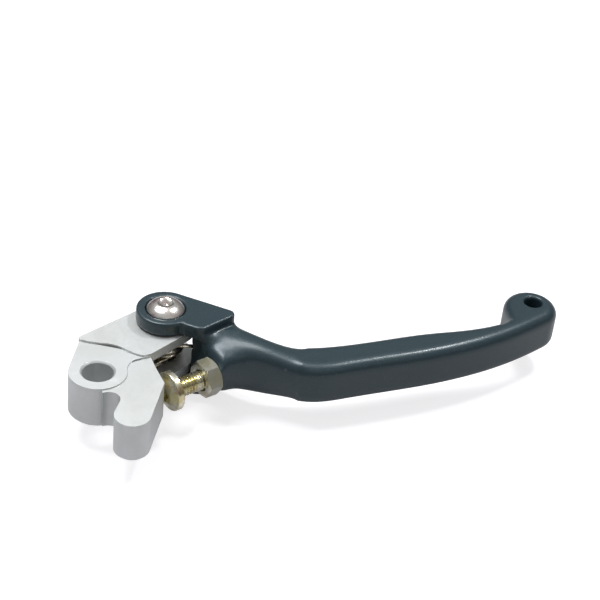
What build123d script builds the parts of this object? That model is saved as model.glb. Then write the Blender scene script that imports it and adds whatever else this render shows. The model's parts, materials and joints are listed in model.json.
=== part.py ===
from build123d import *
import os
from math import acos, asin, atan2, cos, degrees, hypot, radians, sin, sqrt, tan

# Folding front brake lever of an off-road motorcycle, right-hand side.
# Millimetres. The origin is the middle of the perch bore, +Z runs up along the bore, and +X runs
# from the bore to the middle of the ball end. The handlebar is on the -Y side.

# Perch bore and its boss
bore_radius = 4.6
bore_chamfer = 0.6
boss_radius = 8.45
boss_half = 6.9  # half the height of the boss
rim_chamfer = 0.8  # lower rims of the boss and the nose

# Nose that pushes the plunger, and the wall that the reach screw rests on
nose_half = 6.4
nose_radius = 5.2
nose_x = 4.3
nose_y = -21.0
notch_radius = 3.2
notch_x = -0.15
notch_y = -12.6
notch_side_x = -1.55  # where the side between the boss and the notch would reach the notch's middle
stop_wall_x = 16.7
stop_wall_end_y = -3.0
stop_corner_x = 17.0
stop_corner_y = -9.5

# Tongue, which carries the folding pivot
tongue_half = 7.6
tongue_radius = 9.2
tongue_back_angle = 23.5
tongue_front_angle = 27.5
tongue_step_radius = 12.8  # clears the perch lug, round the bore
tongue_step_angles = (28.0, 50.0, 72.0)
tongue_heel_x = -0.2
tongue_toe_x = 17.0
step_foot_x = 14.8
pivot_x = 25.6
pivot_y = 18.2
pocket_half = 4.6  # spring pocket between the tongue's two plates
pocket_radius = 7.3
pocket_left_x = 17.7
pocket_open_angle = 42.0
pocket_reach = 40.0

# Pivot hardware
sleeve_radius = 4.0
sleeve_bore_radius = 3.05
washer_radius = 7.0
washer_gap = 0.05  # between a thrust washer and the tongue
running_gap = 0.05
bolt_radius = 3.0
bolt_length = 26.0
bolt_head_radius = 5.8
bolt_head_height = 3.3
bolt_socket_flats = 4.0
bolt_socket_depth = 2.0
bolt_crown_radius = 2.7
bolt_rim_height = 1.2
bolt_dome_radius = 5.5
bolt_tip_bevel = 0.6
bolt_turn = 10.0
counterbore_gap = 0.35
head_seat_depth = 1.4  # depth of the head's counterbore
nut_seat_depth = 2.4  # depth of the nut's recess
pivot_nut_flats = 10.0
pivot_nut_height = 3.0
collar_radius = 4.6
collar_height = 1.2
ring_radius = 3.9
ring_height = 0.9
ring_fit = 0.02
recess_gap = 0.1

# Fork ears
ear_inner = 8.0  # height of the ear's inner face above the middle
ear_thickness = 4.4
ear_radius = 8.8
ear_back_angle = -44.0
ear_length = 18.0  # straight back edge of an ear
ear_edge_fillet = 0.5
ear_corner_radius = 2.0
slot_radius = 9.9

# Neck, grip and ball end
neck_half = 9.2
grip_half = 6.95
grip_edge_fillet = 3.5
neck_back_start = 17.0  # along the ear's back edge
neck_back_reach = 12.5  # from the screw's axis to the neck's back, at the end face
neck_front_reach = 3.6  # from the screw's axis to the neck's front, at the end face
neck_taper_start_x = 45.0
neck_taper_end_x = 62.0
ball_x = 140.4
ball_radius = 8.4
ball_back_angle = 165.0
ball_front_angle = -70.0
tip_hole_radius = 2.8
tip_hole_x = 141.4
tip_hole_y = 0.6
tip_hole_chamfer = 0.5

# Reach screw and its lock nut
screw_angle = 15.5  # from +X, in plan
screw_offset = -11.25  # Y at which the screw's axis crosses X = 0
stop_gap = 0.2
screw_radius = 2.95
screw_pitch = 1.0
thread_depth = 0.55
screw_head_radius = 6.0
screw_head_height = 4.2
screw_dome_height = 2.4
head_rim_fillet = 0.5
screw_length = 20.0
screw_showing = 9.0  # thread between the head and the lock nut
screw_socket_flats = 4.0
screw_socket_depth = 2.0
lock_nut_flats = 10.0
lock_nut_height = 5.0
lock_nut_turn = 0.0
nut_bevel_radius = 5.6
reach_travel = 4.0
thread_fit = 0.05

# Torsion spring round the sleeve
spring_wire_radius = 0.6
spring_coil_radius = 5.4
spring_turns = 4
spring_pitch = 1.4
spring_leg_angle = -20.0
spring_part_turn = 40.0  # degrees short of whole turns, between the legs
spring_hole_gap = 0.15
spring_anchor_depth = 2.0
spring_hole_extra = 0.5

# Cutting shapes
cut_margin = 1.0
side_start_x = pivot_x - slot_radius
side_end_x = ball_x + 2 * ball_radius
side_reach = 60.0
slot_reach = 20.0

ear_outer = ear_inner + ear_thickness


def turned(radius, angle, x=0.0, y=0.0):
    """Point at a radius and an angle in degrees from a centre."""
    return (x + radius * cos(radians(angle)), y + radius * sin(radians(angle)))


def along(point, angle, distance):
    """Point at a distance from another, in a direction in degrees."""
    return turned(distance, angle, *point)


def direction_to(start, end):
    """Direction in degrees from one point to another."""
    return degrees(atan2(end[1] - start[1], end[0] - start[0]))


def circles(piece, radius):
    """Circular edges of one radius."""
    rounds = piece.edges().filter_by(GeomType.CIRCLE)
    return rounds.filter_by(lambda edge: abs(edge.radius - radius) < 0.01)


# Reach screw axis: its dome lies stop_gap from the wall
dome_radius = (screw_head_radius**2 + screw_dome_height**2) / (2 * screw_dome_height)
dome_x = stop_wall_x + stop_gap + dome_radius
dome_centre = (dome_x, screw_offset + dome_x * tan(radians(screw_angle)))
crown = along(dome_centre, screw_angle, -dome_radius)
screw_plane = Plane(
    origin=(*crown, 0),
    x_dir=(-sin(radians(screw_angle)), cos(radians(screw_angle)), 0),
    z_dir=(cos(radians(screw_angle)), sin(radians(screw_angle)), 0),
)
nut_face = screw_head_height + screw_showing
end_face = nut_face + lock_nut_height
screw_end = screw_head_height + screw_length
screw_hole_end = screw_end + reach_travel + cut_margin
dome_slope = asin(screw_head_radius / dome_radius) / 2
screw_dome_middle = (dome_radius * sin(dome_slope), dome_radius * (1 - cos(dome_slope)))
end_face_centre = along(crown, screw_angle, end_face)

# Tongue outline: two straight edges, each touching the round end
tongue_back = turned(tongue_radius, tongue_back_angle + 90, pivot_x, pivot_y)
tongue_front = turned(tongue_radius, tongue_front_angle - 90, pivot_x, pivot_y)
tongue_tip = turned(tongue_radius, (tongue_back_angle + tongue_front_angle) / 2, pivot_x, pivot_y)
heel_reach = (tongue_back[0] - tongue_heel_x) / cos(radians(tongue_back_angle))
tongue_heel = along(tongue_back, tongue_back_angle, -heel_reach)
toe_reach = (tongue_front[0] - tongue_toe_x) / cos(radians(tongue_front_angle))
tongue_toe = along(tongue_front, tongue_front_angle, -toe_reach)
heel_corner = (tongue_heel[0] - 1.2, tongue_heel[1] - 1.6)
step_points = [turned(tongue_step_radius, angle) for angle in tongue_step_angles]
step_foot = (step_foot_x, tongue_toe[1] - 0.4)

# Nose outline: the slanted side and the notch's side both touch the round tip
nose = (nose_x, nose_y)
notch = (notch_x, notch_y)
stop_corner = (stop_corner_x, stop_corner_y)
nose_distance = hypot(stop_corner_x - nose_x, stop_corner_y - nose_y)
slant_length = sqrt(nose_distance**2 - nose_radius**2)
slant_angle = direction_to(stop_corner, nose) + degrees(asin(nose_radius / nose_distance))
notch_distance = hypot(notch_x - nose_x, notch_y - nose_y)
notch_end_angle = direction_to(notch, nose) + degrees(acos((nose_radius + notch_radius) / notch_distance))
notch_end = turned(notch_radius, notch_end_angle, *notch)
nose_start = turned(nose_radius, notch_end_angle + 180, *nose)

# Spring: the lower leg is anchored in the knuckle and the upper one in the blade
spring_low_z = -spring_turns * spring_pitch / 2
upper_leg_start = spring_leg_angle - 90
lower_leg_start = upper_leg_start + spring_part_turn
upper_turns = spring_turns - spring_part_turn / 360
spring_high_z = spring_low_z + upper_turns * spring_pitch
upper_leg = turned(spring_coil_radius, upper_leg_start, pivot_x, pivot_y)
lower_leg = turned(spring_coil_radius, lower_leg_start, pivot_x, pivot_y)
lower_leg_angle = lower_leg_start - 90
upper_leg_length = sqrt(slot_radius**2 - spring_coil_radius**2) + spring_anchor_depth
lower_leg_length = (lower_leg[0] - pocket_left_x) / -cos(radians(lower_leg_angle)) + spring_anchor_depth


def leg_plane(point, angle, height):
    """Plane square to a spring leg, at the point where it leaves the coil."""
    direction = (cos(radians(angle)), sin(radians(angle)), 0)
    return Plane(origin=(*point, height), x_dir=(0, 0, 1), z_dir=direction)


upper_leg_plane = leg_plane(upper_leg, spring_leg_angle, spring_high_z)
lower_leg_plane = leg_plane(lower_leg, lower_leg_angle, spring_low_z)

# Mounting knuckle: three levels of plate, each the same above and below the middle
with BuildPart() as knuckle:
    with BuildSketch(Plane.XY.offset(-nose_half)):
        with BuildLine():
            wall_top = (stop_wall_x, tongue_toe[1])
            Polyline((0, 0), step_foot, wall_top, (stop_wall_x, stop_wall_end_y), stop_corner)
            slant = PolarLine(stop_corner, slant_length, slant_angle)
            Polyline((0, 0), (notch_side_x, notch_y), notch, notch_end, nose_start, nose, slant @ 1)
        make_face()
        with Locations(nose):
            Circle(nose_radius)
        with Locations(notch):
            Circle(notch_radius, mode=Mode.SUBTRACT)
    extrude(amount=2 * nose_half)
    chamfer(knuckle.edges().group_by(Axis.Z)[0], rim_chamfer)
    with BuildSketch(Plane.XY.offset(rim_chamfer - boss_half)):
        Circle(boss_radius)
    extrude(amount=-rim_chamfer, taper=45)
    with BuildSketch(Plane.XY.offset(rim_chamfer - boss_half)):
        with BuildLine():
            left_side = Line(heel_corner, turned(boss_radius, 152))
            Line(left_side @ 1, (0, 0))
            Line((0, 0), turned(boss_radius, -12))
            Spline(
                turned(boss_radius, -12),
                (11.2, 2.4),
                step_foot,
                tangents=((0.2, 1), (1, 0.05)),
            )
            Polyline(step_foot, (step_foot[0], step_foot[1] + 2), heel_corner)
        make_face()
        Circle(boss_radius)
    extrude(amount=2 * boss_half - rim_chamfer)
    with BuildSketch(Plane.XY.offset(-tongue_half)):
        with BuildLine():
            round_end = ThreePointArc(tongue_back, tongue_tip, tongue_front)
            Polyline(tongue_front, tongue_toe, step_foot)
            Spline(step_foot, *step_points, heel_corner)
            Polyline(heel_corner, (heel_corner[0], heel_corner[1] + 0.9), tongue_heel, tongue_back)
        make_face()
    extrude(amount=2 * tongue_half)
    with BuildSketch(Plane.XY.offset(-pocket_half)):
        with BuildLine():
            Polyline(
                (pivot_x, pivot_y),
                (pocket_left_x, pivot_y),
                (pocket_left_x, nose_y),
                (pivot_x + pocket_reach, nose_y),
                (pivot_x + pocket_reach, pivot_y + pocket_reach * tan(radians(pocket_open_angle))),
                close=True,
            )
        make_face()
        with Locations((pivot_x, pivot_y)):
            Circle(pocket_radius)
    extrude(amount=2 * pocket_half, mode=Mode.SUBTRACT)
    with BuildSketch(Plane.XY.offset(-tongue_half)):
        Circle(bore_radius)
        with Locations((pivot_x, pivot_y)):
            Circle(sleeve_radius + running_gap)
    extrude(amount=2 * tongue_half, mode=Mode.SUBTRACT)
    chamfer(circles(knuckle, bore_radius), bore_chamfer)
    with BuildSketch(lower_leg_plane):
        Circle(spring_wire_radius + spring_hole_gap)
    extrude(amount=lower_leg_length + spring_hole_extra, mode=Mode.SUBTRACT)
knuckle.part.label = "mounting_knuckle"

# Ear outline, used for both ears
ear_back = turned(ear_radius, ear_back_angle + 90, pivot_x, pivot_y)
ear_heel = along(ear_back, ear_back_angle, ear_length)
ear_right = (45.0, 9.7)
ear_front = (33.3, 5.2)
ear_front_left = (31.4, 5.9)
ear_dip = (28.2, 8.9)
with BuildSketch() as ear_shape:
    with Locations((pivot_x, pivot_y)):
        Circle(ear_radius)
    with BuildLine():
        ear_sides = (ear_back, ear_heel, ear_right, ear_front, ear_front_left, ear_dip)
        Polyline((pivot_x, pivot_y), *ear_sides, close=True)
    make_face()
    fillet(ear_shape.vertices().group_by(Axis.X)[-1], ear_corner_radius)

# Lever blade: one forging with the grip, the ball end, the neck and two fork ears
with BuildPart() as blade:
    with BuildSketch(Plane.XY.offset(-neck_half)):
        with BuildLine():
            back = Spline(
                along(ear_back, ear_back_angle, neck_back_start),
                (50.8, 4.9),
                (59.0, -0.9),
                (71.0, -3.7),
                (102.0, -4.8),
                (121.0, -6.1),
                (129.0, -5.1),
                turned(ball_radius, ball_back_angle, ball_x),
                tangents=(turned(1, ear_back_angle), turned(1, ball_back_angle - 90)),
            )
            front = Spline(
                turned(ball_radius, ball_front_angle, ball_x),
                (126.0, -13.2),
                (100.0, -16.4),
                (73.0, -16.2),
                (60.0, -14.8),
                (52.0, -9.4),
                (43.8, -3.8),
                along(end_face_centre, screw_angle - 90, neck_front_reach),
                tangents=(turned(1, ball_front_angle - 90), (-1, -0.4)),
            )
            ThreePointArc(back @ 1, (ball_x + ball_radius, 0), front @ 0)
            neck_corner = along(end_face_centre, screw_angle + 90, neck_back_reach)
            Polyline(front @ 1, neck_corner, (pivot_x, pivot_y), ear_back, back @ 0)
        make_face()
    extrude(amount=2 * neck_half)
    with BuildSketch(Plane.XZ.offset(-side_reach / 2)):
        with BuildLine():
            upper = Spline(
                (neck_taper_start_x, neck_half),
                ((neck_taper_start_x + neck_taper_end_x) / 2, (neck_half + grip_half) / 2),
                (neck_taper_end_x, grip_half),
                tangents=((1, 0), (1, 0)),
            )
            Line(upper @ 1, (side_end_x, grip_half))
            Line(upper @ 0, (side_start_x, neck_half))
            mirror(about=Plane.XZ)
            Line((side_start_x, neck_half), (side_start_x, -neck_half))
            Line((side_end_x, grip_half), (side_end_x, -grip_half))
        make_face()
    extrude(amount=side_reach, mode=Mode.INTERSECT)
    level_edges = blade.edges().filter_by(lambda edge: abs(edge.tangent_at(0.5).Z) < 0.5)
    outline_edges = level_edges.filter_by(lambda edge: abs(edge.tangent_at(0.5).X) > 0.05)
    long_edges = outline_edges.filter_by(lambda edge: edge.bounding_box().max.X > neck_taper_start_x)
    fillet(long_edges, grip_edge_fillet)
    with BuildSketch(Plane.XY.offset(-ear_outer)):
        add(ear_shape.sketch)
    extrude(amount=2 * ear_outer)
    for level in (blade.edges().group_by(Axis.Z)[0], blade.edges().group_by(Axis.Z)[-1]):
        fillet(level, ear_edge_fillet)
    with BuildSketch(Plane.XY.offset(-ear_inner)):
        with Locations((pivot_x, pivot_y)):
            Circle(slot_radius)
        with BuildLine():
            Polyline(
                along(end_face_centre, screw_angle - 90, slot_reach),
                neck_corner,
                (pivot_x, pivot_y),
                (stop_wall_x, pivot_y),
                (stop_wall_x, nose_y),
                close=True,
            )
        make_face()
    extrude(amount=2 * ear_inner, mode=Mode.SUBTRACT)
    with BuildSketch(Plane.XY.offset(-ear_outer)):
        with Locations((pivot_x, pivot_y)):
            Circle(bolt_radius + running_gap)
    extrude(amount=2 * ear_outer, mode=Mode.SUBTRACT)
    with BuildSketch(Plane.XY.offset(ear_outer - head_seat_depth)):
        with Locations((pivot_x, pivot_y)):
            Circle(bolt_head_radius + counterbore_gap)
    extrude(amount=head_seat_depth, mode=Mode.SUBTRACT)
    with BuildSketch(Plane.XY.offset(nut_seat_depth - ear_outer)):
        with Locations((pivot_x, pivot_y)):
            RegularPolygon(pivot_nut_flats / 2 + recess_gap, 6, major_radius=False)
    extrude(amount=-nut_seat_depth, mode=Mode.SUBTRACT)
    with BuildSketch(screw_plane.offset(end_face)):
        Circle(screw_radius + thread_fit)
    extrude(amount=screw_hole_end - end_face, mode=Mode.SUBTRACT)
    with BuildSketch(upper_leg_plane):
        Circle(spring_wire_radius + spring_hole_gap)
    extrude(amount=upper_leg_length + spring_hole_extra, mode=Mode.SUBTRACT)
    with BuildSketch(Plane.XY.offset(-grip_half)):
        with Locations((tip_hole_x, tip_hole_y)):
            Circle(tip_hole_radius)
    extrude(amount=2 * grip_half, mode=Mode.SUBTRACT)
    chamfer(circles(blade, tip_hole_radius), tip_hole_chamfer)
blade.part.label = "lever_blade"

# Pivot bolt: button head with a hex socket
bolt_seat = ear_outer - head_seat_depth
bolt_end = bolt_seat - bolt_length
with BuildPart() as bolt:
    with BuildSketch(Plane.XZ.offset(-pivot_y)):
        with BuildLine():
            bolt_crown = (pivot_x + bolt_crown_radius, bolt_seat + bolt_head_height)
            bolt_rim = (pivot_x + bolt_head_radius, bolt_seat + bolt_rim_height)
            Line((pivot_x, bolt_end), (pivot_x, bolt_seat + bolt_head_height))
            Line((pivot_x, bolt_seat + bolt_head_height), bolt_crown)
            RadiusArc(bolt_crown, bolt_rim, bolt_dome_radius)
            Polyline(
                bolt_rim,
                (pivot_x + bolt_head_radius, bolt_seat),
                (pivot_x + bolt_radius, bolt_seat),
                (pivot_x + bolt_radius, bolt_end + bolt_tip_bevel),
                (pivot_x + bolt_radius - bolt_tip_bevel, bolt_end),
                (pivot_x, bolt_end),
            )
        make_face()
    revolve(axis=Axis((pivot_x, pivot_y, 0), (0, 0, 1)))
    with BuildSketch(Plane.XY.offset(bolt_seat + bolt_head_height)):
        with Locations((pivot_x, pivot_y)):
            RegularPolygon(bolt_socket_flats / 2, 6, major_radius=False, rotation=bolt_turn)
    extrude(amount=-bolt_socket_depth, mode=Mode.SUBTRACT)
bolt.part.label = "pivot_bolt"

# Sleeve: clamped between the ears, so that the tongue turns freely on it
with BuildPart() as sleeve:
    with BuildSketch(Plane.XY.offset(-ear_inner)):
        with Locations((pivot_x, pivot_y)):
            Circle(sleeve_radius)
            Circle(sleeve_bore_radius, mode=Mode.SUBTRACT)
    extrude(amount=2 * ear_inner)
sleeve.part.label = "pivot_sleeve"

# Thrust washers: one against each ear
washers = []
for washer_name, washer_z in (("upper", tongue_half + washer_gap), ("lower", -ear_inner)):
    with BuildPart() as washer:
        with BuildSketch(Plane.XY.offset(washer_z)):
            with Locations((pivot_x, pivot_y)):
                Circle(washer_radius)
                Circle(sleeve_radius + running_gap, mode=Mode.SUBTRACT)
        extrude(amount=ear_inner - tongue_half - washer_gap)
    washer.part.label = f"{washer_name}_thrust_washer"
    washers.append(washer)

# Pivot lock nut: hex body and round collar, which holds the nylon ring
pivot_nut_low = nut_seat_depth - ear_outer - pivot_nut_height
with BuildPart() as pivot_nut:
    with BuildSketch(Plane.XY.offset(pivot_nut_low)):
        with Locations((pivot_x, pivot_y)):
            RegularPolygon(pivot_nut_flats / 2, 6, major_radius=False)
    extrude(amount=pivot_nut_height)
    with BuildSketch(Plane.XY.offset(pivot_nut_low - collar_height)):
        with Locations((pivot_x, pivot_y)):
            Circle(collar_radius)
    extrude(amount=collar_height)
    with BuildSketch(Plane.XY.offset(pivot_nut_low - collar_height)):
        with Locations((pivot_x, pivot_y)):
            Circle(bolt_radius + thread_fit)
    extrude(amount=pivot_nut_height + collar_height, mode=Mode.SUBTRACT)
    with BuildSketch(Plane.XY.offset(pivot_nut_low - ring_height)):
        with Locations((pivot_x, pivot_y)):
            Circle(ring_radius)
    extrude(amount=ring_height, mode=Mode.SUBTRACT)
pivot_nut.part.label = "pivot_lock_nut"

with BuildPart() as ring:
    with BuildSketch(Plane.XY.offset(pivot_nut_low - ring_height)):
        with Locations((pivot_x, pivot_y)):
            Circle(ring_radius)
            Circle(bolt_radius + ring_fit, mode=Mode.SUBTRACT)
    extrude(amount=ring_height)
ring.part.label = "pivot_nut_nylon_ring"

# Reach screw: its profile is turned about its own axis, with a groove for each turn of thread
with BuildPart() as screw:
    with BuildSketch(screw_plane * Plane.XZ):
        with BuildLine():
            Line((0, screw_end), (0, 0))
            ThreePointArc((0, 0), screw_dome_middle, (screw_head_radius, screw_dome_height))
            Polyline(
                (screw_head_radius, screw_dome_height),
                (screw_head_radius, screw_head_height),
                (screw_radius, screw_head_height),
                (screw_radius, screw_end - thread_depth),
                (screw_radius - thread_depth, screw_end),
                (0, screw_end),
            )
        make_face()
    revolve(axis=Axis(screw_plane.origin, screw_plane.z_dir))
    fillet(circles(screw, screw_head_radius), head_rim_fillet)
    groove_count = int((screw_length - 2 * screw_pitch) / screw_pitch)
    for groove in range(groove_count):
        groove_start = screw_head_height + screw_pitch * (groove + 0.5)
        with BuildSketch(screw_plane * Plane.XZ):
            with BuildLine():
                Polyline(
                    (screw_radius + thread_depth, groove_start - screw_pitch / 2),
                    (screw_radius - thread_depth, groove_start + screw_pitch / 2),
                    (screw_radius + thread_depth, groove_start + 1.5 * screw_pitch),
                    close=True,
                )
            make_face()
        revolve(axis=Axis(screw_plane.origin, screw_plane.z_dir), mode=Mode.SUBTRACT)
    with BuildSketch(screw_plane):
        RegularPolygon(screw_socket_flats / 2, 6, major_radius=False)
    extrude(amount=screw_socket_depth, mode=Mode.SUBTRACT)
screw.part.label = "reach_adjuster_screw"

# Lock nut on the reach screw, tight against the blade's end face
with BuildPart() as lock_nut:
    with BuildSketch(screw_plane.offset(nut_face)):
        RegularPolygon(lock_nut_flats / 2, 6, major_radius=False, rotation=lock_nut_turn)
        Circle(screw_radius + thread_fit, mode=Mode.SUBTRACT)
    extrude(amount=lock_nut_height)
    with BuildSketch(screw_plane.offset(nut_face)):
        Circle(nut_bevel_radius)
    extrude(amount=lock_nut_height, mode=Mode.INTERSECT)
lock_nut.part.label = "adjuster_lock_nut"

# Torsion spring: coils round the sleeve, with a straight leg at each end
with BuildPart() as spring:
    with BuildLine(Plane.XY.offset(spring_low_z).shift_origin((pivot_x, pivot_y, spring_low_z))) as coil_line:
        coil = Helix(spring_pitch, spring_high_z - spring_low_z, spring_coil_radius)
    with BuildSketch(Plane(origin=coil @ 0, z_dir=coil % 0)):
        Circle(spring_wire_radius)
    sweep(path=coil, is_frenet=True)
    with BuildSketch(upper_leg_plane):
        Circle(spring_wire_radius)
    extrude(amount=upper_leg_length)
    with BuildSketch(lower_leg_plane):
        Circle(spring_wire_radius)
    extrude(amount=lower_leg_length)
spring.part.label = "torsion_spring"

os.makedirs("parts", exist_ok=True)
for piece in (knuckle, blade, bolt, sleeve, *washers, pivot_nut, ring, screw, lock_nut, spring):
    export_step(piece.part, f"parts/{piece.part.label}.step")
    print(piece.part.label, round(piece.part.volume, 1), len(piece.part.solids()))
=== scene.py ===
import json
from math import cos, pi, radians, sin, tan

import bmesh
import bpy
from mathutils import Matrix, Vector


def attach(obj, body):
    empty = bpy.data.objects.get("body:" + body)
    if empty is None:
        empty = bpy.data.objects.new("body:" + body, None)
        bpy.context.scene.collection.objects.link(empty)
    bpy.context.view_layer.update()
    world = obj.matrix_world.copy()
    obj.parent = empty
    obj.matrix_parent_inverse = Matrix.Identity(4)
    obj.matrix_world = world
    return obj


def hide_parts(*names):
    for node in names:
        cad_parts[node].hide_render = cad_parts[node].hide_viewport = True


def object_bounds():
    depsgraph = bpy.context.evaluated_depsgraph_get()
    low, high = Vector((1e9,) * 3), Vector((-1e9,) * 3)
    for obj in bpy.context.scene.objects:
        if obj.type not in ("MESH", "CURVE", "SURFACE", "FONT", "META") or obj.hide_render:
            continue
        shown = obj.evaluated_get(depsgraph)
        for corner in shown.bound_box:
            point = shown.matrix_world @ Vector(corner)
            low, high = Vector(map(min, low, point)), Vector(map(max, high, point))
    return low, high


# Folding brake lever: a silver knuckle, a dark coated blade and their steel hardware. Metres.
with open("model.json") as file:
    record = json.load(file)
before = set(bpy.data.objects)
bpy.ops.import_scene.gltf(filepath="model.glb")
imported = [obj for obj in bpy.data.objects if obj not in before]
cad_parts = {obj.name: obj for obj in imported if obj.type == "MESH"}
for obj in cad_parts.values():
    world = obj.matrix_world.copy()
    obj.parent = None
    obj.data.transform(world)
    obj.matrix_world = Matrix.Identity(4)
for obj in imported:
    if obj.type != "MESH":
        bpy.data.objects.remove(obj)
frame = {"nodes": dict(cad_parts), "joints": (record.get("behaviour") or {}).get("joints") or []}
cad_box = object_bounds()
nodes = frame["nodes"]
joints = {joint["name"]: joint for joint in frame["joints"]}
MM = 0.001

# The reach screw's own frame: X lies sideways, Y up and Z along the screw, from the middle of its dome
screw_axis = Vector(joints["reach_adjust"]["axis"]).normalized()
nut_middle = Vector(joints["lock_nut_spin"]["pos_m"])
screw_reach = [(v.co - nut_middle).dot(screw_axis) for v in nodes["reach_adjuster_screw"].data.vertices]
crown = nut_middle + screw_axis * min(screw_reach)
screw_length = max(screw_reach) - min(screw_reach)
screw_side = Vector((-screw_axis.y, screw_axis.x, 0))
screw_frame = Matrix((screw_side, Vector((0, 0, 1)), screw_axis)).transposed().to_4x4()
screw_frame.translation = crown

screw_radius = 2.95 * MM
screw_head_radius = 6.0 * MM
screw_head_height = 4.2 * MM
screw_dome_height = 2.4 * MM
screw_pitch = 1.0 * MM
thread_depth = 0.65 * MM
socket_radius = 2.3 * MM
socket_depth = 2.0 * MM
lock_nut_flats = 10.0 * MM
lock_nut_height = 5.0 * MM
nut_clearance = 0.05 * MM
thread_overlap = 0.1 * MM  # of the thread's root into the core
thread_start = 0.4 * MM  # beyond the head
end_face = (nut_middle - crown).length + lock_nut_height / 2

# The blade's neck, just beyond the slot's end face
blade_voxel = 0.42 * MM
neck_front = Vector((43.8, -3.8, 0)) * MM
neck_front_angle = radians(-34.3)
neck_round_end = 24 * MM
neck_round_fade = 16 * MM
neck_smooth_passes = 120
bore_clearance = 0.25 * MM
bore_beyond = 5.5 * MM
knuckle_edge_width = 0.18 * MM
lock_nut_edge_width = 0.12 * MM

# Stage
floor_drop = 0.3 * MM
floor_glow = 0.74
floor_mirrored = 0.25
world_mirrored = 0.1
sky_low, sky_high = 0.08, 0.55


# ---------------------------------------------------------------- node groups

def new_group(name, inputs, outputs):
    """Empty node group with named inputs (and their defaults) and outputs, ready to wire."""
    group = bpy.data.node_groups.new(name, "ShaderNodeTree")
    for label, value in inputs.items():
        kind = "NodeSocketFloat" if isinstance(value, float) else "NodeSocketColor"
        socket = group.interface.new_socket(label, in_out="INPUT", socket_type=kind)
        socket.default_value = value
    for label, kind in outputs.items():
        group.interface.new_socket(label, in_out="OUTPUT", socket_type=kind)
    return group, group.nodes.new("NodeGroupInput"), group.nodes.new("NodeGroupOutput")


def noise_node(tree, scale, detail=4.0, rough=0.55, stretch=None):
    """Noise on object coordinates, stretched where a finish has a direction."""
    coordinates = tree.nodes.new("ShaderNodeTexCoord")
    mapping = tree.nodes.new("ShaderNodeMapping")
    mapping.inputs["Scale"].default_value = stretch or (1, 1, 1)
    noise = tree.nodes.new("ShaderNodeTexNoise")
    noise.inputs["Scale"].default_value = scale
    noise.inputs["Detail"].default_value = detail
    noise.inputs["Roughness"].default_value = rough
    tree.links.new(coordinates.outputs["Object"], mapping.inputs["Vector"])
    tree.links.new(mapping.outputs["Vector"], noise.inputs["Vector"])
    return noise


def map_range(tree, source, low, high, to_low, to_high):
    node = tree.nodes.new("ShaderNodeMapRange")
    for label, value in (("From Min", low), ("From Max", high), ("To Min", to_low), ("To Max", to_high)):
        node.inputs[label].default_value = value
    tree.links.new(source, node.inputs["Value"])
    return node.outputs["Result"]


def math_node(tree, operation, first, second):
    node = tree.nodes.new("ShaderNodeMath")
    node.operation = operation
    for socket, value in zip(node.inputs, (first, second)):
        if isinstance(value, float):
            socket.default_value = value
        else:
            tree.links.new(value, socket)
    return node.outputs["Value"]


def mix_colors(tree, factor, first, second):
    """Mix of two colours, each a value or a socket."""
    node = tree.nodes.new("ShaderNodeMix")
    node.data_type = "RGBA"
    tree.links.new(factor, node.inputs["Factor"])
    for label, value in (("A", first), ("B", second)):
        socket = [s for s in node.inputs if s.name == label and s.type == "RGBA"][0]
        if isinstance(value, tuple):
            socket.default_value = value
        else:
            tree.links.new(value, socket)
    return [s for s in node.outputs if s.type == "RGBA"][0]


def make_blasted_grain():
    """Fine blasted or cast grain: a height for bump and a speckle mask."""
    group, inlet, outlet = new_group(
        "blasted_grain", {"Scale": 2200.0}, {"Height": "NodeSocketFloat", "Speckle": "NodeSocketFloat"})
    noise = noise_node(group, 2200.0, 3.0, 0.6)
    group.links.new(inlet.outputs["Scale"], noise.inputs["Scale"])
    group.links.new(noise.outputs["Fac"], outlet.inputs["Height"])
    group.links.new(map_range(group, noise.outputs["Fac"], 0.58, 0.72, 0.0, 1.0), outlet.inputs["Speckle"])
    return group


def make_wear_and_painted_shade():
    """Rubbed edges, as a mask that is broken up by noise, and painted shade, as a mask for darkening hollows
    such as a thread's root.
    """
    group, inlet, outlet = new_group(
        "wear_and_painted_shade", {"Amount": 0.5}, {"Mask": "NodeSocketFloat", "PaintedShade": "NodeSocketFloat"})
    geometry = group.nodes.new("ShaderNodeNewGeometry")
    ridge = map_range(group, geometry.outputs["Pointiness"], 0.52, 0.62, 0.0, 1.0)
    patches = map_range(group, noise_node(group, 180.0).outputs["Fac"], 0.4, 0.6, 0.0, 1.0)
    worn = math_node(group, "MULTIPLY", ridge, patches)
    group.links.new(math_node(group, "MULTIPLY", worn, inlet.outputs["Amount"]), outlet.inputs["Mask"])
    # Painted shade: concave places, such as a thread's roots, get a mask that darkens them.
    painted_shade = map_range(group, geometry.outputs["Pointiness"], 0.49, 0.44, 0.0, 0.95)
    group.links.new(painted_shade, outlet.inputs["PaintedShade"])
    return group


def make_plating_tint():
    """Passivated plating: a slow drift between two colours, with small stains of a third."""
    colors = {"Pale": (0.8, 0.78, 0.7, 1.0), "Deep": (0.6, 0.52, 0.3, 1.0), "Stain": (0.5, 0.25, 0.25, 1.0)}
    group, inlet, outlet = new_group("plating_tint", colors, {"Color": "NodeSocketColor"})
    drift = map_range(group, noise_node(group, 260.0, 2.0).outputs["Fac"], 0.38, 0.62, 0.0, 1.0)
    stains = map_range(group, noise_node(group, 420.0, 2.0).outputs["Fac"], 0.56, 0.72, 0.0, 0.6)
    plated = mix_colors(group, drift, inlet.outputs["Pale"], inlet.outputs["Deep"])
    group.links.new(mix_colors(group, stains, plated, inlet.outputs["Stain"]), outlet.inputs["Color"])
    return group


blasted_grain = make_blasted_grain()
wear_and_painted_shade = make_wear_and_painted_shade()
plating_tint = make_plating_tint()


# ---------------------------------------------------------------- materials

def place_group(tree, group, **values):
    node = tree.nodes.new("ShaderNodeGroup")
    node.node_tree = group
    for label, value in values.items():
        node.inputs[label].default_value = value
    return node


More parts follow.
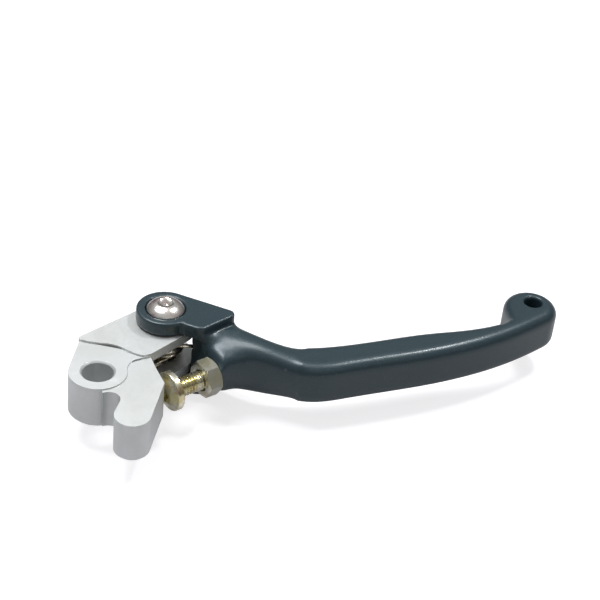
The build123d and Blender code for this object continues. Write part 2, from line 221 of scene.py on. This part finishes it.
def new_material(name, color, metallic, roughness, **sockets):
    """Material with constants set on its Principled shader. Gives the material, its tree and the shader."""
    material = bpy.data.materials.new(name)
    material.use_nodes = True
    material.diffuse_color = color
    shader = material.node_tree.nodes["Principled BSDF"]
    shader.inputs["Base Color"].default_value = color
    shader.inputs["Metallic"].default_value = metallic
    shader.inputs["Roughness"].default_value = roughness
    for label, value in sockets.items():
        shader.inputs[label.replace("_", " ")].default_value = value
    return material, material.node_tree, shader


def add_bump(tree, shader, height, distance, strength=1.0):
    bump = tree.nodes.new("ShaderNodeBump")
    bump.inputs["Distance"].default_value = distance
    bump.inputs["Strength"].default_value = strength
    tree.links.new(height, bump.inputs["Height"])
    tree.links.new(bump.outputs["Normal"], shader.inputs["Normal"])


def blade_coat():
    """Slate-blue metallic coat on the cast blade, with fine bright flakes and faintly rubbed edges."""
    slate = (0.019, 0.039, 0.048, 1.0)
    material, tree, shader = new_material(
        "blade_coat", slate, 0.25, 0.36, Coat_Weight=0.2, Coat_Roughness=0.2)
    grain = place_group(tree, blasted_grain, Scale=2600.0)
    flakes = mix_colors(tree, grain.outputs["Speckle"], slate, (0.05, 0.088, 0.102, 1.0))
    clouds = map_range(tree, noise_node(tree, 90.0).outputs["Fac"], 0.35, 0.65, 0.0, 0.35)
    clouded = mix_colors(tree, clouds, flakes, (0.016, 0.035, 0.050, 1.0))
    wear_and_shade = place_group(tree, wear_and_painted_shade, Amount=0.22)
    worn = mix_colors(tree, wear_and_shade.outputs["Mask"], clouded, (0.2, 0.24, 0.25, 1.0))
    tree.links.new(worn, shader.inputs["Base Color"])
    tree.links.new(map_range(tree, grain.outputs["Height"], 0.3, 0.7, 0.3, 0.44), shader.inputs["Roughness"])
    add_bump(tree, shader, grain.outputs["Height"], 0.03 * MM, 0.6)
    return material


def knuckle_aluminium():
    """Satin aluminium, lightly blasted, with faint cutter marks and a greenish cast in cloudy patches."""
    silver = (0.62, 0.64, 0.65, 1.0)
    material, tree, shader = new_material("knuckle_aluminium", silver, 0.7, 0.46)
    grain = place_group(tree, blasted_grain, Scale=1900.0)
    clouds = map_range(tree, noise_node(tree, 70.0).outputs["Fac"], 0.35, 0.7, 0.0, 1.0)
    clouded = mix_colors(tree, clouds, silver, (0.57, 0.59, 0.575, 1.0))
    wear_and_shade = place_group(tree, wear_and_painted_shade, Amount=0.6)
    worn = mix_colors(tree, wear_and_shade.outputs["Mask"], clouded, (0.8, 0.81, 0.82, 1.0))
    tree.links.new(worn, shader.inputs["Base Color"])
    tree.links.new(map_range(tree, grain.outputs["Height"], 0.3, 0.7, 0.44, 0.58), shader.inputs["Roughness"])
    marks = noise_node(tree, 60.0, 2.0, 0.5, stretch=(1.0, 14.0, 1.0)).outputs["Fac"]
    height = math_node(tree, "ADD", grain.outputs["Height"], marks)
    add_bump(tree, shader, height, 0.02 * MM, 0.5)
    return material


def plated_steel(name, pale, deep, stain, roughness, painted_root_shade=False):
    """Plated or passivated steel with drifting tints, and painted shade in its hollows where it is a thread.
    """
    material, tree, shader = new_material(name, pale, 1.0, roughness)
    tint = place_group(tree, plating_tint, Pale=pale, Deep=deep, Stain=stain)
    grain = place_group(tree, blasted_grain, Scale=1500.0)
    color = tint.outputs["Color"]
    if painted_root_shade:
        # Painted shade: hollows such as the thread's roots are darkened to near black.
        wear_and_shade = place_group(tree, wear_and_painted_shade)
        color = mix_colors(tree, wear_and_shade.outputs["PaintedShade"], color, (0.03, 0.02, 0.01, 1.0))
    tree.links.new(color, shader.inputs["Base Color"])
    rough = map_range(tree, grain.outputs["Height"], 0.3, 0.7, roughness - 0.03, roughness + 0.04)
    tree.links.new(rough, shader.inputs["Roughness"])
    add_bump(tree, shader, grain.outputs["Height"], 0.006 * MM, 0.25)
    return material


def nylon():
    material, tree, shader = new_material("nylon", (0.04, 0.1, 0.32, 1.0), 0.0, 0.5)
    grain = place_group(tree, blasted_grain, Scale=900.0)
    tree.links.new(map_range(tree, grain.outputs["Height"], 0.3, 0.7, 0.42, 0.58), shader.inputs["Roughness"])
    add_bump(tree, shader, grain.outputs["Height"], 0.01 * MM)
    return material


materials = {
    "blade_anodised": blade_coat(),
    "knuckle_aluminium": knuckle_aluminium(),
    "bolt_steel": plated_steel(
        "bolt_steel", (0.80, 0.78, 0.74, 1), (0.72, 0.66, 0.62, 1), (0.55, 0.36, 0.42, 1), 0.22),
    "zinc_steel": plated_steel(
        "zinc_steel", (0.74, 0.73, 0.66, 1), (0.62, 0.60, 0.42, 1), (0.66, 0.55, 0.50, 1), 0.30),
    "passivated_steel": plated_steel(
        "passivated_steel", (0.76, 0.74, 0.62, 1), (0.58, 0.52, 0.28, 1), (0.50, 0.30, 0.22, 1), 0.24),
    "spring_steel": plated_steel(
        "spring_steel", (0.55, 0.53, 0.48, 1), (0.40, 0.36, 0.28, 1), (0.30, 0.24, 0.2, 1), 0.28),
    "bush_bronze": plated_steel(
        "bush_bronze", (0.62, 0.46, 0.24, 1), (0.50, 0.34, 0.15, 1), (0.35, 0.22, 0.1, 1), 0.3),
    "nylon": nylon(),
}


# ---------------------------------------------------------------- modelling helpers

def add_piece(name, mesh, body, slot, replaced):
    """Puts a finished mesh in the scene as a piece that rides on a body and stands for a CAD node."""
    piece = bpy.data.objects.new(name, mesh)
    bpy.context.scene.collection.objects.link(piece)
    mesh.materials.clear()
    mesh.materials.append(materials[slot])
    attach(piece, body)
    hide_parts(replaced)
    return piece


def mesh_from(bm, name, sharp_angle=35):
    """Mesh of a bmesh, smooth-shaded apart from its sharp edges."""
    bmesh.ops.recalc_face_normals(bm, faces=bm.faces)
    mesh = bpy.data.meshes.new(name)
    bm.to_mesh(mesh)
    bm.free()
    mesh.shade_smooth()
    mesh.set_sharp_from_angle(angle=radians(sharp_angle))
    return mesh


def baked(mesh, *modifiers):
    """Mesh with modifiers applied, each given as its type and its settings."""
    holder = bpy.data.objects.new("holder", mesh)
    bpy.context.scene.collection.objects.link(holder)
    for kind, settings in modifiers:
        modifier = holder.modifiers.new(kind, kind)
        for label, value in settings.items():
            setattr(modifier, label, value)
    graph = bpy.context.evaluated_depsgraph_get()
    result = bpy.data.meshes.new_from_object(holder.evaluated_get(graph))
    bpy.data.objects.remove(holder)
    return result


def combined(mesh, tool_bm, operation):
    """Mesh cut, joined or intersected with a closed tool."""
    tool = bpy.data.objects.new("tool", mesh_from(tool_bm, "tool"))
    bpy.context.scene.collection.objects.link(tool)
    result = baked(mesh, ("BOOLEAN", {"operation": operation, "solver": "EXACT", "object": tool}))
    bpy.data.objects.remove(tool)
    return result


def turned_shape(profile, steps=96):
    """Closed shape turned about Z from a list of (radius, height) points, the first and last on the axis."""
    bm = bmesh.new()
    points = [bm.verts.new((radius, 0, height)) for radius, height in profile]
    chain = [bm.edges.new(pair) for pair in zip(points, points[1:])]
    bmesh.ops.spin(
        bm, geom=points + chain, cent=(0, 0, 0), axis=(0, 0, 1), angle=2 * pi, steps=steps, use_merge=True)
    bmesh.ops.remove_doubles(bm, verts=bm.verts, dist=1e-7)
    return bm


def hexagon_bar(flats, height, low=0.0):
    """Hexagonal bar along Z."""
    bm = bmesh.new()
    corner = flats / 2 / cos(radians(30))
    place = Matrix.Translation((0, 0, low + height / 2)) @ Matrix.Rotation(radians(30), 4, "Z")
    bmesh.ops.create_cone(
        bm, cap_ends=True, segments=6, radius1=corner, radius2=corner, depth=height, matrix=place)
    return bm


def smoothed_copy(node, sharp_angle=35, edge_width=0.0):
    """Merged copy of a CAD node's mesh, smooth-shaded, its edges broken by a small bevel where asked."""
    bm = bmesh.new()
    bm.from_mesh(nodes[node].data)
    bmesh.ops.remove_doubles(bm, verts=bm.verts, dist=1e-6)
    if edge_width:
        bmesh.ops.dissolve_limit(bm, angle_limit=radians(0.5), verts=bm.verts, edges=bm.edges)
    mesh = bpy.data.meshes.new(node)
    bm.to_mesh(mesh)
    bm.free()
    if edge_width:
        mesh = baked(mesh, ("BEVEL", {
            "width": edge_width, "segments": 2, "limit_method": "ANGLE", "angle_limit": radians(sharp_angle),
            "use_clamp_overlap": True}))
    mesh.shade_smooth()
    mesh.set_sharp_from_angle(angle=radians(sharp_angle))
    if edge_width:
        mesh = baked(mesh, ("WEIGHTED_NORMAL", {"keep_sharp": True, "weight": 100}))
    return mesh


# ---------------------------------------------------------------- pieces

def round_neck(mesh):
    """Rounds the neck's front towards the slot's end face, where the casting is fullest at mid-height."""
    neck_half = 9.2 * MM
    front_depth = 7.9 * MM
    power = 2.7  # of the rounded section: 2 is an ellipse, and more is squarer
    face_margin = 0.2 * MM
    height_margin = 0.05 * MM
    smooth_margin = 0.3 * MM
    run = Vector((cos(neck_front_angle), sin(neck_front_angle), 0))
    back = Vector((-run.y, run.x, 0))
    for vertex in mesh.vertices:
        place = vertex.co - neck_front
        along, depth = place.dot(run), place.dot(back)
        height = abs(vertex.co.z)
        before_face = (vertex.co - crown).dot(screw_axis) < end_face - face_margin
        if before_face or depth > front_depth or height > neck_half + height_margin:
            continue
        reach = (min(1, 1 - depth / front_depth) ** power + (height / neck_half) ** power) ** (1 / power)
        fade = min(1, max(0, (neck_round_end - along) / neck_round_fade))
        if reach > 1 and fade > 0:
            shrink = 1 - (1 - 1 / reach) * fade * fade * (3 - 2 * fade)
            vertex.co.z *= shrink
            vertex.co += back * (front_depth - depth) * (1 - shrink)
    bm = bmesh.new()
    bm.from_mesh(mesh)
    neck = []
    for vertex in bm.verts:
        beyond = (vertex.co - crown).dot(screw_axis) - end_face
        near = (vertex.co - neck_front).dot(run) < neck_round_end * 2 / 3
        if beyond > smooth_margin and near and abs(vertex.co.z) < neck_half:
            neck.append(vertex)
    for _ in range(neck_smooth_passes):
        bmesh.ops.smooth_vert(bm, verts=neck, factor=0.5, use_axis_x=True, use_axis_y=True, use_axis_z=True)
    bm.to_mesh(mesh)
    bm.free()


def make_blade():
    """The cast blade with the soft edges that a cast and coated part has."""
    mesh = baked(
        smoothed_copy("lever_blade"),
        ("REMESH", {"mode": "VOXEL", "voxel_size": blade_voxel, "use_smooth_shade": True}))
    round_neck(mesh)
    mesh = baked(mesh, ("SMOOTH", {"factor": 0.5, "iterations": 3}))
    bore_start = end_face - MM
    bore_end = screw_length + bore_beyond
    radius = screw_radius + bore_clearance
    bore = turned_shape([(0, bore_start), (radius, bore_start), (radius, bore_end), (0, bore_end)])
    bmesh.ops.transform(bore, matrix=screw_frame, verts=bore.verts)
    mesh = combined(mesh, bore, "DIFFERENCE")
    mesh.shade_smooth()
    mesh.set_sharp_from_angle(angle=radians(60))
    add_piece("blade", mesh, "blade", "blade_anodised", "lever_blade")


def make_reach_screw():
    """Pan-head screw with a hex socket and a helical thread."""
    dome_radius = (screw_head_radius**2 + screw_dome_height**2) / (2 * screw_dome_height)
    rim = 0.5 * MM
    dome_steps = 12
    dome = []
    for step in range(dome_steps + 1):
        radius = (screw_head_radius - rim) * step / dome_steps
        dome.append((radius, dome_radius - (dome_radius**2 - radius**2) ** 0.5))
    edge_height = dome[-1][1] + rim
    corner = [
        (screw_head_radius - rim + rim * sin(a), edge_height - rim * cos(a))
        for a in (radians(angle) for angle in (25, 50, 75, 90))]
    under = [
        (screw_head_radius, screw_head_height - rim / 2), (screw_head_radius - rim / 2, screw_head_height),
        (screw_radius, screw_head_height)]
    core = screw_radius - thread_depth
    neck = [(screw_radius, screw_head_height + 0.2 * MM), (core, screw_head_height + 0.5 * MM)]
    end = [(core, screw_length - 0.3 * MM), (core - 0.3 * MM, screw_length), (0, screw_length)]
    mesh = mesh_from(turned_shape(dome + corner + under + neck + end), "reach_screw")
    mesh = combined(mesh, hexagon_bar(2 * socket_radius, 2 * socket_depth, -socket_depth), "DIFFERENCE")
    bm = bmesh.new()
    bm.from_mesh(mesh)
    steps = 40
    turns = int((screw_length - screw_head_height - screw_pitch) / screw_pitch) - 1
    flank = [
        (core - thread_overlap, 0), (core, 0.03), (screw_radius, 0.42), (screw_radius, 0.58), (core, 0.97),
        (core - thread_overlap, 1)]
    low = screw_head_height + thread_start
    plain_faces = set(bm.faces)
    loop = [bm.verts.new((radius, 0, low + height * screw_pitch)) for radius, height in flank]
    face = bm.faces.new(loop)
    bmesh.ops.spin(
        bm, geom=[face], cent=(0, 0, 0), axis=(0, 0, 1), angle=2 * pi * turns, steps=steps * turns,
        dvec=(0, 0, screw_pitch / steps), use_merge=False)
    for face in bm.faces:
        face.material_index = 0 if face in plain_faces else 1
    bmesh.ops.transform(bm, matrix=screw_frame, verts=bm.verts)
    mesh = mesh_from(bm, "reach_screw", 30)
    add_piece("reach_screw", mesh, "reach_screw", "passivated_steel", "reach_adjuster_screw")
    # The thread's material darkens the thread's roots with painted shade.
    mesh.materials.append(plated_steel(
        "thread_gold", (0.50, 0.44, 0.22, 1), (0.34, 0.26, 0.07, 1), (0.30, 0.09, 0.05, 1), 0.2,
        painted_root_shade=True))


def make_lock_nut():
    """Hex nut with both faces turned to a cone at the corners."""
    corner = lock_nut_flats / 2 / cos(radians(30)) + 0.1 * MM
    face_radius = 4.7 * MM
    slope = (corner - face_radius) * tan(radians(30))
    profile = [
        (0, 0), (face_radius, 0), (corner, slope), (corner, lock_nut_height - slope),
        (face_radius, lock_nut_height), (0, lock_nut_height)]
    mesh = mesh_from(hexagon_bar(lock_nut_flats, lock_nut_height), "lock_nut")
    mesh = combined(mesh, turned_shape(profile), "INTERSECT")
    bore = screw_radius + nut_clearance
    sink = 0.5 * MM
    cut = [
        (0, -sink), (bore + 2 * sink, -sink), (bore, sink), (bore, lock_nut_height - sink),
        (bore + 2 * sink, lock_nut_height + sink), (0, lock_nut_height + sink)]
    mesh = combined(mesh, turned_shape(cut), "DIFFERENCE")
    nut_place = Matrix.Translation((0, 0, (nut_middle - crown).length - lock_nut_height / 2))
    mesh.transform(screw_frame @ nut_place)
    mesh = baked(mesh, ("BEVEL", {"width": lock_nut_edge_width, "segments": 2, "angle_limit": radians(25)}))
    mesh.shade_smooth()
    mesh.set_sharp_from_angle(angle=radians(25))
    add_piece("lock_nut", mesh, "lock_nut", "zinc_steel", "adjuster_lock_nut")


make_blade()
make_reach_screw()
make_lock_nut()
add_piece(
    "knuckle", smoothed_copy("mounting_knuckle", 30, knuckle_edge_width), "knuckle", "knuckle_aluminium",
    "mounting_knuckle")
add_piece("spring", smoothed_copy("torsion_spring", 50), "knuckle", "spring_steel", "torsion_spring")
for node, slot in (
        ("pivot_bolt", "bolt_steel"), ("pivot_lock_nut", "zinc_steel"), ("pivot_nut_nylon_ring", "nylon"),
        ("pivot_sleeve", "bush_bronze"), ("upper_thrust_washer", "bush_bronze"),
        ("lower_thrust_washer", "bush_bronze")):
    add_piece(node + "_finished", smoothed_copy(node, 30), "blade", slot, node)


# ---------------------------------------------------------------- floor, lights and camera

def white_where_seen(tree, reflected):
    """Mask of 1 where the camera looks straight at a surface, and of a share where a piece reflects it."""
    path = tree.nodes.new("ShaderNodeLightPath")
    mirrored = math_node(tree, "MAXIMUM", path.outputs["Is Glossy Ray"], path.outputs["Is Transmission Ray"])
    shared = math_node(tree, "MULTIPLY", mirrored, reflected)
    return math_node(tree, "MAXIMUM", path.outputs["Is Camera Ray"], shared)


def make_floor():
    bm = bmesh.new()
    bmesh.ops.create_grid(bm, x_segments=1, y_segments=1, size=3.0)
    bmesh.ops.translate(bm, verts=bm.verts, vec=(0, 0, cad_box[0][2] - floor_drop))
    floor = bpy.data.objects.new("floor", mesh_from(bm, "floor"))
    bpy.context.scene.collection.objects.link(floor)
    material, tree, shader = new_material(
        "floor_white", (0.42, 0.415, 0.43, 1), 0.0, 0.8, Specular_IOR_Level=0.1)
    shader.inputs["Emission Color"].default_value = (1, 0.99, 1, 1)
    seen = math_node(tree, "MULTIPLY", white_where_seen(tree, floor_mirrored), floor_glow)
    tree.links.new(seen, shader.inputs["Emission Strength"])
    floor.data.materials.append(material)


def make_world():
    world = bpy.data.worlds.new("studio")
    bpy.context.scene.world = world
    world.use_nodes = True
    tree = world.node_tree
    background = tree.nodes["Background"]
    background.inputs["Color"].default_value = (1.0, 1.0, 1.0, 1)
    coordinates = tree.nodes.new("ShaderNodeTexCoord")
    height = tree.nodes.new("ShaderNodeSeparateXYZ")
    tree.links.new(coordinates.outputs["Generated"], height.inputs["Vector"])
    sky = map_range(tree, height.outputs["Z"], 0.0, 1.0, sky_low, sky_high)
    strength = math_node(tree, "MAXIMUM", sky, white_where_seen(tree, world_mirrored))
    tree.links.new(strength, background.inputs["Strength"])


def add_softbox(name, place, target, size, watts):
    """Rectangular area lamp that faces a target."""
    lamp = bpy.data.lights.new(name, "AREA")
    lamp.shape = "RECTANGLE"
    lamp.size, lamp.size_y = size
    lamp.energy = watts
    box = bpy.data.objects.new(name, lamp)
    box.location = place
    box.rotation_euler = (Vector(target) - Vector(place)).to_track_quat("-Z", "Y").to_euler()
    bpy.context.scene.collection.objects.link(box)


def make_camera():
    """Camera above and in front, with a slight roll."""
    forward = Vector((0.3401, 0.7533, -0.5629)).normalized()
    right = Vector((0.93033, -0.3568, 0.08464))
    right = (right - forward * right.dot(forward)).normalized()
    camera = bpy.data.cameras.new("camera")
    camera.lens = 97.2
    camera.clip_start = 0.01
    holder = bpy.data.objects.new("camera", camera)
    pose = Matrix((right, right.cross(forward), -forward)).transposed().to_4x4()
    pose.translation = (-0.1008, -0.3578, 0.2888)
    holder.matrix_world = pose
    bpy.context.scene.collection.objects.link(holder)
    bpy.context.scene.camera = holder


make_floor()
make_world()
middle = (0.05, 0.0, 0.0)
add_softbox("key_box", (-0.15, 0.2, 0.8), middle, (0.4, 0.4), 6.5)
add_softbox("streak_box", (0.42, 0.03, 0.66), middle, (0.09, 0.09), 2.4)
add_softbox("front_box", (0.1, -0.7, 0.55), middle, (0.7, 0.25), 0.1)
make_camera()
bpy.context.scene.view_settings.view_transform = "Standard"
